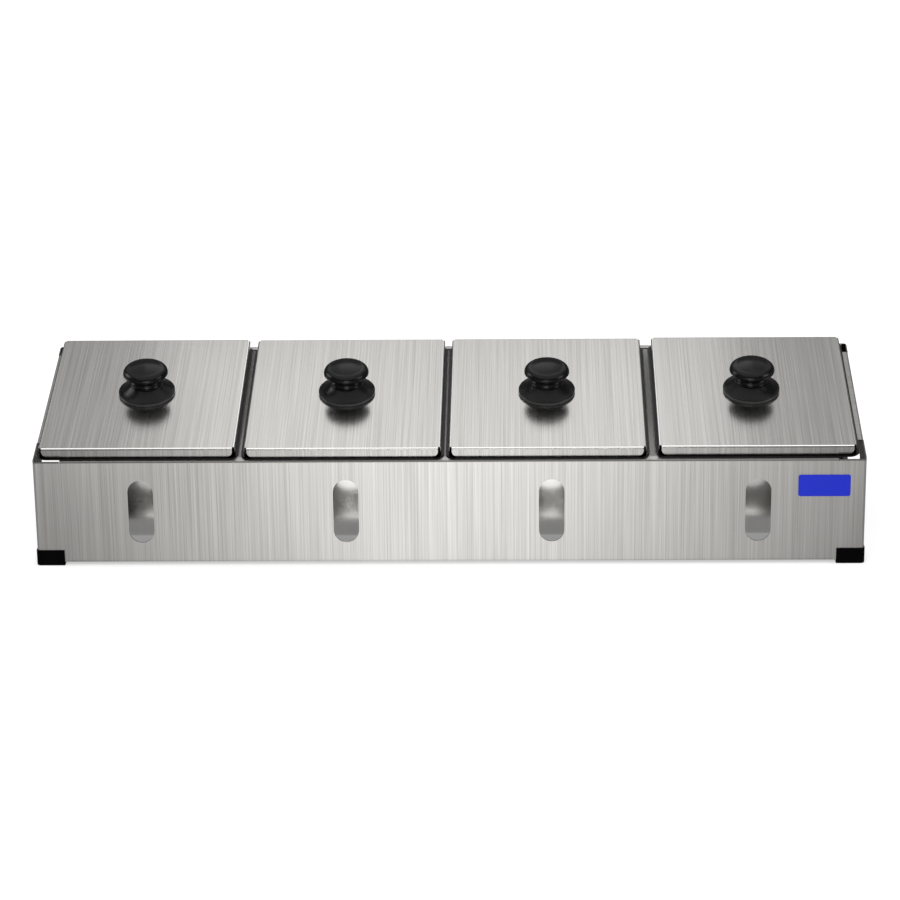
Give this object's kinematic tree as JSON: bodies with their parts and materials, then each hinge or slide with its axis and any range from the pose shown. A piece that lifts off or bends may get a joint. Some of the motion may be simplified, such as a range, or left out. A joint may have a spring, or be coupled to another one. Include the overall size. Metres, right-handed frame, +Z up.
{
  "type": "condiment caddy",
  "caption": "Countertop steel caddy whose sloping frame holds a row of lift-out condiment pans, each with a knobbed flip lid hinged at the back.",
  "frame": {"origin": "on the surface the caddy stands on, under the middle of its frame", "axes": "+X to the right along the row of pans, +Y to the back, +Z up; the front with the slots faces -Y"},
  "size_m": [0.6616, 0.1768, 0.1439],
  "materials": {
    "frame_steel": "vertically brushed stainless sheet",
    "lid_steel": "stainless sheet brushed front to back",
    "pan_steel": "bright polished deep-drawn stainless steel",
    "hinge_steel": "satin stainless steel",
    "knob_phenolic": "satin black moulded phenolic",
    "foot_rubber": "matt black moulded rubber",
    "badge_enamel": "gloss blue enamel on a thin plate, with no lettering",
    "insert_brass": "knurled brass",
    "screw_zinc": "bright zinc plate"
  },
  "bodies": {
    "frame": {"front_wall": "frame_steel", "rear_wall": "frame_steel", "left_wall": "frame_steel", "right_wall": "frame_steel", "foot_front_left": "foot_rubber", "foot_front_right": "foot_rubber", "foot_rear_left": "foot_rubber", "foot_rear_right": "foot_rubber", "badge_plate": "badge_enamel"},
    "pan_assembly_1": {"pan_1": "pan_steel", "pan_hinge_leaf_1": "hinge_steel", "hinge_pin_1": "hinge_steel"},
    "lid_assembly_1": {"lid_1": "lid_steel", "lid_hinge_leaf_1": "hinge_steel", "knob_1": "knob_phenolic", "knob_base_1": "knob_phenolic", "knob_insert_1": "insert_brass", "knob_screw_1": "screw_zinc", "knob_washer_1": "screw_zinc"},
    "pan_assembly_2": {"pan_2": "pan_steel", "pan_hinge_leaf_2": "hinge_steel", "hinge_pin_2": "hinge_steel"},
    "lid_assembly_2": {"lid_2": "lid_steel", "lid_hinge_leaf_2": "hinge_steel", "knob_2": "knob_phenolic", "knob_base_2": "knob_phenolic", "knob_insert_2": "insert_brass", "knob_screw_2": "screw_zinc", "knob_washer_2": "screw_zinc"},
    "pan_assembly_3": {"pan_3": "pan_steel", "pan_hinge_leaf_3": "hinge_steel", "hinge_pin_3": "hinge_steel"},
    "lid_assembly_3": {"lid_3": "lid_steel", "lid_hinge_leaf_3": "hinge_steel", "knob_3": "knob_phenolic", "knob_base_3": "knob_phenolic", "knob_insert_3": "insert_brass", "knob_screw_3": "screw_zinc", "knob_washer_3": "screw_zinc"},
    "pan_assembly_4": {"pan_4": "pan_steel", "pan_hinge_leaf_4": "hinge_steel", "hinge_pin_4": "hinge_steel"},
    "lid_assembly_4": {"lid_4": "lid_steel", "lid_hinge_leaf_4": "hinge_steel", "knob_4": "knob_phenolic", "knob_base_4": "knob_phenolic", "knob_insert_4": "insert_brass", "knob_screw_4": "screw_zinc", "knob_washer_4": "screw_zinc"}
  },
  "joints": [
    {"name": "pan_1_lift", "type": "slide", "parent": "frame", "child": "pan_assembly_1", "axis": [0, -0.23, 0.9732], "range_m": [0, 0.12]},
    {"name": "lid_1_flip", "type": "hinge", "parent": "pan_assembly_1", "child": "lid_assembly_1", "pos_m": [-0.24705, 0.08481, 0.13195], "axis": [-1, 0, 0], "range_deg": [0, 115]},
    {"name": "pan_2_lift", "type": "slide", "parent": "frame", "child": "pan_assembly_2", "axis": [0, -0.23, 0.9732], "range_m": [0, 0.12]},
    {"name": "lid_2_flip", "type": "hinge", "parent": "pan_assembly_2", "child": "lid_assembly_2", "pos_m": [-0.08385, 0.08394, 0.13175], "axis": [-1, 0, 0], "range_deg": [0, 115]},
    {"name": "pan_3_lift", "type": "slide", "parent": "frame", "child": "pan_assembly_3", "axis": [0, -0.23, 0.9732], "range_m": [0, 0.12]},
    {"name": "lid_3_flip", "type": "hinge", "parent": "pan_assembly_3", "child": "lid_assembly_3", "pos_m": [0.0786, 0.08403, 0.13177], "axis": [-1, 0, 0], "range_deg": [0, 115]},
    {"name": "pan_4_lift", "type": "slide", "parent": "frame", "child": "pan_assembly_4", "axis": [0, -0.23, 0.9732], "range_m": [0, 0.12]},
    {"name": "lid_4_flip", "type": "hinge", "parent": "pan_assembly_4", "child": "lid_assembly_4", "pos_m": [0.24435, 0.08539, 0.13209], "axis": [-1, 0, 0], "range_deg": [0, 115]}
  ]
}
